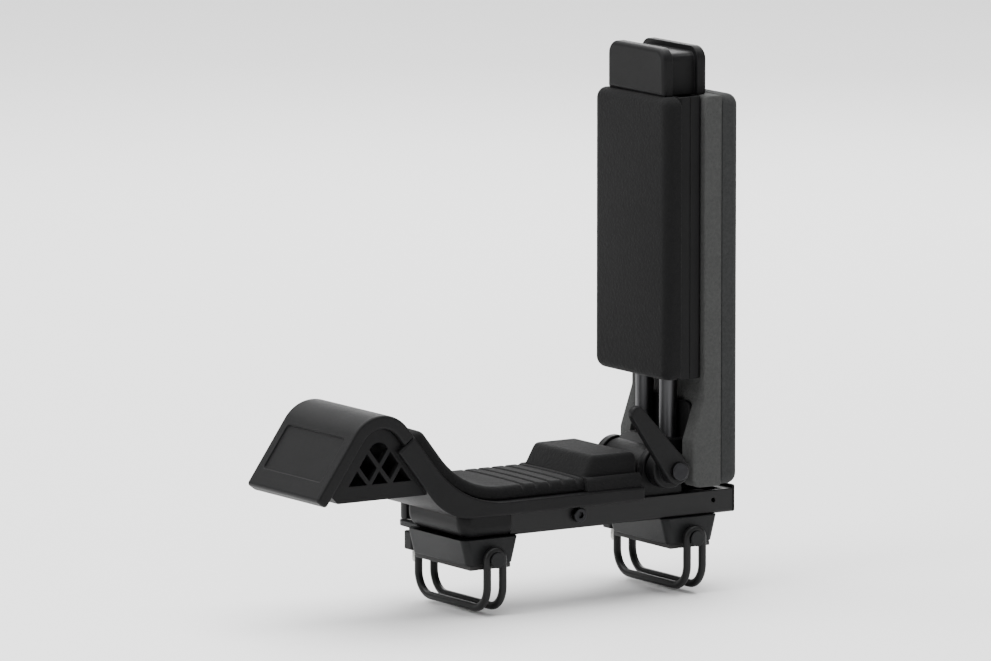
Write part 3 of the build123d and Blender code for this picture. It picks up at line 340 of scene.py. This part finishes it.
def plated_steel(name, dark, light, roughness):
    """Plated steel: metal whose tone and roughness drift with the plating, with fine turning marks."""
    material, sockets, place = new_finish(name, Metallic=1.0)
    plating = noise(place, 160.0, detail=4.0)
    between(plating, dark, light).into(sockets["Base Color"])
    (roughness + 0.18 * plating).into(sockets["Roughness"])
    raised(noise(place, 1800.0, detail=2.0), strength=0.12, distance=0.00006).into(sockets["Normal"])
    return material


bright_steel = plated_steel(
    "bright_plated_steel", dark=(0.5, 0.5, 0.48), light=(0.64, 0.64, 0.62), roughness=0.24
)
dress(bright_steel, *[f"clamp_washer_{side}" for side in sides], edge=0.0003)

# Hand screws
# Zinc-plated steel screws with a rolled thread and a tapered end. The thread lies within the shank's
# diameter, so it runs inside the nut block's bore.
thread_pitch = 0.00125
thread_depth = 0.00065
thread_root_steepness = 1.25
thread_runs_out = 0.002
thread_point = 0.001
thread_crease = 60
points_round_screw = 32
rows_a_pitch = 8

for side in sides:
    low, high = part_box(f"clamp_screw_{side}")
    middle = (low + high) / 2
    shank_radius = (high.x - low.x) / 2
    along = np.linspace(low.z, high.z, int((high.z - low.z) / thread_pitch * rows_a_pitch))[:, None]
    round_angle = np.linspace(0, 2 * pi, points_round_screw, endpoint=False)[None]
    turn = (along - low.z) / thread_pitch - round_angle / (2 * pi)
    flank = 2 * np.abs(turn - np.floor(turn) - 0.5)
    root = thread_depth * np.clip(flank * thread_root_steepness, 0, 1)
    end = np.clip((thread_runs_out - (along - low.z)) / thread_runs_out, 0, 1)
    radius = shank_radius - root - thread_point * end
    screw_x = middle.x + radius * np.cos(round_angle)
    screw_y = middle.y + radius * np.sin(round_angle)
    screw_rings = np.stack([screw_x, screw_y, along + 0 * radius], axis=-1)
    screw = skin(f"hand_screw_thread_{side}", screw_rings, bright_steel, thread_crease)
    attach(screw, f"hand_screw_{side}")
    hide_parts(f"clamp_screw_{side}")

# Base ends
# Both are moulded in black plastic. The end cap plugs the rail. The root block carries the foot of the arm,
# and is screwed to the outboard foot.
dress(black_plastic, "rail_end_cap", "root_block", edge=0.0006)

# J arm and nose cover
# The arm is one moulding of black plastic with an open triangular frame under its nose. The cover, moulded
# apart, snaps over the frame.
dress(black_plastic, "j_arm", edge=0.0004)
dress(black_plastic, "nose_cover", edge=0.0007)

# Cradle pad
# A strip of black closed-cell foam, moulded with cross grooves and rounded edges, glued along the floor, bend
# and slope of the arm.
slope_angle = radians(52)
slope_reach = 0.079
arm_bend_radius = 0.09
bend_corner_x = -0.139
pad_gap = 0.0002
pad_thickness = 0.0118
pad_half_width = 0.05
pad_edge = 0.0045
pad_under_edge = 0.0015
pad_tip_radius = 0.006
pad_plan_corner = 0.009
pad_foot_radius = 0.002
pad_crown = 0.0007
pad_step = 0.0008
pad_points = 150
first_groove_x = -0.0732
groove_pitch = 0.014
groove_count = 5
groove_half = 0.0016
groove_depth = 0.0026
foam_crease = 70


def foam(name, dark, light):
    """Closed-cell foam: burst cells of two sizes at the skin are pits between rounded walls, over a broad
    soft mottling and under a fine grain. The pits are painted darker than their walls, as painted shade."""
    material, sockets, place = new_finish(
        name, IOR=1.45, Specular_IOR_Level=0.14, Sheen_Weight=0.04, Sheen_Roughness=0.4
    )
    mottle = noise(place, 60.0, detail=4.0)
    rounded = {"feature": "SMOOTH_F1"}
    wide, small = [
        place.node("TexVoronoi", rounded, {"Vector": place, "Scale": scale, "Smoothness": 0.6})
        for scale in (360.0, 900.0)
    ]
    cells = 0.6 * wide + 0.4 * small
    # The mottle is the foam's own tone. The cells paint each pit darker than its walls, as painted shade.
    between(0.3 * mottle + 0.9 * cells, dark, light).into(sockets["Base Color"])
    (0.7 + 0.25 * cells).into(sockets["Roughness"])
    grain = noise(place, 1900.0, detail=2.0)
    raised(cells + 0.3 * grain, strength=0.9, distance=0.0005).into(sockets["Normal"])
    return material


def round_end(run, radius):
    """How much a rounded end has fallen, that far along from its tip: a quarter circle, then nothing."""
    return radius - np.sqrt(radius**2 - np.clip(radius - run, 0, radius) ** 2)


black_foam = foam("black_closed_cell_foam", dark=(0.0022, 0.0022, 0.0024), light=(0.0078, 0.0078, 0.008))
pad_low, pad_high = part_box("cradle_pad")

# The pad's underside runs down the slope, round the bend and along the floor, and is told by its length.
bend_radius = arm_bend_radius - pad_gap
bend_length = bend_radius * slope_angle
bend_end_x = bend_corner_x + arm_bend_radius * tan(slope_angle / 2)
floor_length = pad_high.x - bend_end_x
slope_length = slope_reach - bend_radius * tan(slope_angle / 2)
pad_length = slope_length + bend_length + floor_length
run = np.linspace(0, pad_length, int(pad_length / pad_step))
tilt = slope_angle - np.clip(run - slope_length, 0, bend_length) / bend_radius
on_slope = np.minimum(run, slope_length)
on_floor = np.maximum(run - slope_length - bend_length, 0)
path_x = on_slope * cos(slope_angle) + bend_radius * (sin(slope_angle) - np.sin(tilt)) + on_floor
path_z = -on_slope * sin(slope_angle) - bend_radius * (np.cos(tilt) - cos(slope_angle))
path_x += pad_high.x - path_x[-1]
path_z += pad_low.z - path_z[-1]

# Its section is a rounded strip with a crown. The top falls at both ends and in the grooves, and the plan
# narrows at the tip.
across = rectangle(
    (-pad_half_width, 0),
    (pad_half_width, pad_thickness),
    [pad_under_edge, pad_under_edge, pad_edge, pad_edge],
    pad_points,
)
share = across[:, 1] / pad_thickness
top_weight = share**2 * (3 - 2 * share)
groove_places = first_groove_x + groove_pitch * np.arange(groove_count)
from_groove = np.abs(path_x[:, None] - groove_places).min(axis=1)
fall = round_end(run, pad_tip_radius) + round_end(pad_length - run, pad_foot_radius)
fall = fall + groove_depth * np.exp(-((from_groove / groove_half) ** 4)) * (on_floor > 0)
swell = pad_crown * (1 - (across[:, 0] / pad_half_width) ** 2)
narrowing = 1 - round_end(run, pad_plan_corner) / pad_half_width
pad_rise = across[None, :, 1] + top_weight * (swell[None] - fall[:, None])
pad_x = path_x[:, None] + pad_rise * np.sin(tilt)[:, None]
pad_y = across[None, :, 0] * narrowing[:, None]
pad_z = path_z[:, None] + pad_rise * np.cos(tilt)[:, None]
cradle_foam = skin("cradle_foam", np.stack([pad_x, pad_y, pad_z], axis=-1), black_foam, foam_crease)
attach(cradle_foam, "base")
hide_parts("cradle_pad")

# Corner pad
# A moulded wedge of the same foam that guards the foot of the mast, glued to the arm's floor. It stands on a
# foot as thick as the cradle pad, a little inside the foot's edges.
corner_slope = radians(60)
corner_rounding = 0.006
corner_foot_rounding = 0.001
corner_side_rounding = 0.005
corner_ledge = 0.0065
corner_draft = 0.0004
corner_points = 240


def stepped(outline, foot_z, half_width, steps=9):
    """A wedge on a foot: an outline of the XZ plane carried along Y. Over the ledge all that is above the
    foot lies flat on its top, which falls by a quarter circle at the foot's edge. Inside the ledge the wedge
    is drawn in towards the middle of the foot's top by a quarter circle, and then stands at full size."""
    low, high = outline.min(axis=0), outline.max(axis=0)
    above = outline[:, 1] > foot_z
    foot_inside, foot_below = quarter(pad_edge, steps)
    wedge_inside, wedge_below = quarter(corner_side_rounding, steps)
    y = np.concatenate([foot_inside, [corner_ledge], corner_ledge + corner_draft + wedge_inside]) - half_width
    top_z = np.concatenate([foot_z - foot_below, np.full(steps + 1, foot_z)])
    shrink = np.concatenate([np.zeros(steps), wedge_below[:1], wedge_below])
    flat = np.arange(2 * steps + 1) <= steps
    y = np.concatenate([y, -y[::-1]])[:, None]
    top_z = np.concatenate([top_z, top_z[::-1]])[:, None]
    shrink = np.concatenate([shrink, shrink[::-1]])[:, None] * above
    flat = np.concatenate([flat, flat[::-1]])[:, None] & above
    along_top = np.interp(np.cumsum(above), [0, above.sum() + 1], [high[0], low[0]])
    middle = (low[0] + high[0]) / 2
    x = np.where(flat, along_top, outline[:, 0])
    x = middle + (x - middle) * (1 - 2 * shrink / (high[0] - low[0]))
    foot_part = low[1] + (outline[:, 1] - low[1]) * (top_z - low[1]) / (foot_z - low[1])
    wedge_part = foot_z + (outline[:, 1] - foot_z) * (1 - shrink / (high[1] - foot_z))
    z = np.where(above, np.where(flat, top_z, wedge_part), foot_part)
    return np.stack([x, y + 0 * x, z], axis=-1)


low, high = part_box("corner_pad")
foot_z = low.z + pad_thickness
lean_top = low.x + (high.z - foot_z) / tan(corner_slope)
corner_outline = rounded_outline(
    [(low.x, low.z), (high.x, low.z), (high.x, high.z), (lean_top, high.z), (low.x, foot_z)],
    [corner_foot_rounding, corner_foot_rounding, corner_rounding, corner_rounding, corner_foot_rounding],
)
corner_rings = stepped(evenly(corner_outline, corner_points), foot_z, (high.y - low.y) / 2)
corner_foam = skin("corner_foam", corner_rings, black_foam, foam_crease)
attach(corner_foam, "base")
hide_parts("corner_pad")

# Hinge
# A bracket moulded in black plastic is screwed into the rail. The mast turns in it on nylon bushes, and a
# moulded lever on the pivot bolt locks it.
dress(black_plastic, "hinge_bracket", "fold_lever", edge=0.0007)
nylon = moulded_plastic("natural_nylon", dark=(0.52, 0.5, 0.44), light=(0.62, 0.6, 0.54), roughness=0.38)
dress(nylon, "pivot_bushes", edge=0.0002)

# Fasteners
# Machine screws, bolts, nuts and washers, turned or headed in steel and plated black.
dark_steel = plated_steel(
    "black_plated_steel", dark=(0.014, 0.014, 0.015), light=(0.03, 0.03, 0.032), roughness=0.34
)
dress(dark_steel, "foot_screws", "arm_bolt", "arm_nut", "arm_screws", "bracket_screws", edge=0.0003)
dress(dark_steel, "panel_screws", "pivot_bolt", "pivot_nut", "pivot_washers", edge=0.0003)

# Mast
# Two drawn aluminium tubes stand in a moulded hub. Their metal is painted dark grey, as painted shade for the
# # dark reflections they take under a kayak. Two moulded panels close round them, and a moulded head caps
# them.


def drawn_aluminium(name, dark, light):
    """Drawn tube: fine streaks along its length, as noise that is stretched a hundredfold along Z."""
    material, sockets, place = new_finish(name, Metallic=1.0)
    stretched = place.node("Mapping", {}, {"Vector": place, "Scale": (1.0, 1.0, 0.01)})
    streak = noise(stretched, 1600.0, detail=3.0)
    cloud = noise(place, 40.0, detail=3.0)
    between(0.5 * streak + 0.5 * cloud, dark, light).into(sockets["Base Color"])
    (0.34 + 0.16 * streak).into(sockets["Roughness"])
    raised(streak, strength=0.2, distance=0.00005).into(sockets["Normal"])
    return material


# The tubes' dark grey metal is painted shade, standing for the dark reflections they take under a kayak.
aluminium = drawn_aluminium("drawn_aluminium", dark=(0.045, 0.045, 0.047), light=(0.08, 0.08, 0.083))
dress(aluminium, "mast_tube_front", "mast_tube_rear", edge=0.0003)
dress(black_plastic, "mast_hub", "mast_panel_outboard", "mast_panel_inboard", "mast_head", edge=0.0007)

# Outboard mast pad
# A block of black closed-cell foam that faces the cradle, moulded with a crowned face and glued to the
# outboard panel.
mast_pad_corner = 0.01
mast_pad_edge = 0.008
mast_pad_under_edge = 0.0015
mast_pad_crown = 0.0015
mast_pad_points = 360
face_rings = 26
last_ring_share = 0.03


def crowned_block(outline, back_x, front_x, crown):
    """A flat-backed block on a YZ outline: its side runs along X, its front edge is a quarter circle, and its
    face rises by the crown times one less the square of each distance from the middle, as a share of the half
    size."""
    toward = np.sign(front_x - back_x)
    under_inside, under_below = quarter(mast_pad_under_edge)
    edge_inside, edge_below = quarter(mast_pad_edge)
    distance = np.concatenate([under_inside[::-1], edge_inside])
    x = np.concatenate([back_x + toward * under_below[::-1], front_x - toward * edge_below])
    rings = inset(outline, distance)
    share = np.linspace(1, last_ring_share, face_rings)[1:, None, None]
    middle = rings[-1].mean(axis=0)
    face = middle + (rings[-1] - middle) * share
    away = (face - middle) / np.abs(rings[-1] - middle).max(axis=0)
    face_x = front_x + toward * crown * (1 - away**2).prod(axis=-1)
    yz = np.concatenate([rings, face])
    depth = np.concatenate([np.broadcast_to(x[:, None], rings.shape[:2]), face_x])
    return np.stack([depth, yz[..., 0], yz[..., 1]], axis=-1)


low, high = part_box("mast_pad_outboard")
block_outline = rectangle(low.yz, high.yz, mast_pad_corner, mast_pad_points)
outboard_rings = crowned_block(block_outline, high.x, low.x + mast_pad_crown, mast_pad_crown)
outboard_foam = skin("mast_foam_outboard", outboard_rings, black_foam, foam_crease)
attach(outboard_foam, "mast")
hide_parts("mast_pad_outboard")

# Inboard mast pad
# Two layers of grey foam, laminated together and glued to the inboard panel: a pale one cut from sheet, with
# # a wing on each side of the hub, and a darker moulded one behind it. The two greys are lit and shaded
# copies of
# # one foam: painted light on the pale layer, painted shade on the darker one.
layer_x = 0.128
layer_edge = 0.0018
layer_corner = 0.0024
layer_crease = 50
panel_corner = 0.0055
wing_full_z = 0.095
wing_top_z = 0.131
wing_inner_y = 0.0405
wing_step = 0.0006
wing_foot_corner = 0.009
wing_top_corner = 0.012

# Painted light and shade: the pale layer's foam is the lit copy of one foam, and the back layer's grey is its
# shaded copy.
lit_pale_foam = foam("pale_grey_closed_cell_foam", dark=(0.03, 0.031, 0.03), light=(0.056, 0.057, 0.056))
shaded_grey_foam = foam("grey_closed_cell_foam", dark=(0.016, 0.0165, 0.0165), light=(0.034, 0.035, 0.035))
low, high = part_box("mast_pad_inboard")
panel_face_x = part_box("mast_panel_inboard")[1].x + pad_gap

# The pale layer is its side view carried along Y. Between the wings, what lies outboard of the panel's face
# is pushed back to it.
winged = rounded_outline(
    [(panel_face_x, high.z), (layer_x, high.z), (layer_x, low.z),
     (low.x, low.z), (low.x, wing_full_z), (panel_face_x, wing_top_z)],
    [panel_corner, layer_corner, layer_corner, wing_foot_corner, wing_top_corner, wing_top_corner],
)
plain = np.maximum(winged, (panel_face_x, low.z))
edge_inside, edge_below = quarter(layer_edge)
half_y = np.concatenate([edge_below[::-1] - (high.y - low.y) / 2, [-wing_inner_y - wing_step, -wing_inner_y]])
layer_y = np.concatenate([half_y, -half_y[::-1]])
half_distance = np.concatenate([edge_inside[::-1], [0, 0]])
distance = np.concatenate([half_distance, half_distance[::-1]])
with_wing = (np.abs(layer_y) > wing_inner_y + wing_step / 2)[:, None, None]
side_views = np.where(with_wing, inset(winged, distance), plain)
across_y = np.broadcast_to(layer_y[:, None], side_views.shape[:2])
layer_rings = np.stack([side_views[..., 0], across_y, side_views[..., 1]], axis=-1)
end_poles = [((panel_face_x + layer_x) / 2, y, wing_full_z) for y in (low.y, high.y)]
front_layer = skin("mast_foam_inboard", layer_rings, lit_pale_foam, layer_crease, end_poles)

back_outline = rectangle(low.yz, high.yz, mast_pad_corner, mast_pad_points)
back_rings = crowned_block(back_outline, layer_x, high.x - mast_pad_crown, mast_pad_crown)
back_layer = skin("mast_foam_back", back_rings, shaded_grey_foam, foam_crease)
for layer in (front_layer, back_layer):
    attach(layer, "mast")
    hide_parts("mast_pad_inboard")

# Floor, light and camera
# A pale floor, a wide soft box above, smaller ones at the back, rear, left and right, and a long lens.
# The bails drop when they let go, so the floor lies half of that below them.
floor_half = 6.0
floor_white = (0.86, 0.86, 0.86)
bail_drop = 0.0066
floor_z = cad_box[0].z - bail_drop / 2
studio_white = (1.0, 1.0, 1.0, 1.0)
studio_strength = 0.4


def wall_paint(name, colour):
    """Matt studio paint with a faint cloud in it."""
    material, sockets, place = new_finish(name, Roughness=0.85)
    cloud = noise(place, 3.0, detail=2.0)
    between(cloud, colour, [c * 1.02 for c in colour]).into(sockets["Base Color"])
    return material


floor_corners = [(-floor_half, -floor_half), (floor_half, -floor_half), (floor_half, floor_half)]
floor_corners.append((-floor_half, floor_half))
floor_mesh = bpy.data.meshes.new("floor")
floor_mesh.from_pydata([(x, y, floor_z) for x, y in floor_corners], [], [(0, 1, 2, 3)])
floor_mesh.materials.append(wall_paint("pale_floor", floor_white))
floor = bpy.data.objects.new("floor", floor_mesh)
bpy.context.scene.collection.objects.link(floor)

world = bpy.data.worlds.new("studio")
world.use_nodes = True
background = world.node_tree.nodes["Background"].inputs
background["Color"].default_value = studio_white
background["Strength"].default_value = studio_strength
bpy.context.scene.world = world

centre = (cad_box[0] + cad_box[1]) / 2


def soft_box(name, place, size, power):
    """A square lamp that faces the middle of the carrier."""
    lamp = bpy.data.lights.new(name, "AREA")
    lamp.size = size
    lamp.energy = power
    box = bpy.data.objects.new(name, lamp)
    box.location = place
    box.rotation_euler = (centre - Vector(place)).to_track_quat("-Z", "Y").to_euler()
    bpy.context.scene.collection.objects.link(box)


soft_box("top_box", place=(0.0, 1.0, 5.0), size=8.0, power=1050.0)
soft_box("back_box", place=(-1.3, 2.6, 1.5), size=1.3, power=4.0)
soft_box("rear_box", place=(1.9, 2.3, 1.6), size=1.4, power=34.0)
soft_box("left_box", place=(-2.0, -0.2, 1.3), size=1.1, power=30.0)
soft_box("right_box", place=(1.4, -1.8, 1.1), size=1.0, power=4.0)

camera_azimuth = radians(-33)
camera_elevation = radians(8.5)
camera_distance = 9.3
camera_lens = 390.0
camera_reach = 60.0
camera_aim = Vector((-0.07, 0.0, 0.2))
camera = bpy.data.cameras.new("camera")
camera.lens = camera_lens
camera.clip_end = camera_reach
viewpoint = bpy.data.objects.new("camera", camera)
back = Vector((
    sin(camera_azimuth) * cos(camera_elevation),
    -cos(camera_azimuth) * cos(camera_elevation),
    sin(camera_elevation),
))
viewpoint.location = camera_aim + camera_distance * back
viewpoint.rotation_euler = (-back).to_track_quat("-Z", "Y").to_euler()
bpy.context.scene.collection.objects.link(viewpoint)
bpy.context.scene.camera = viewpoint
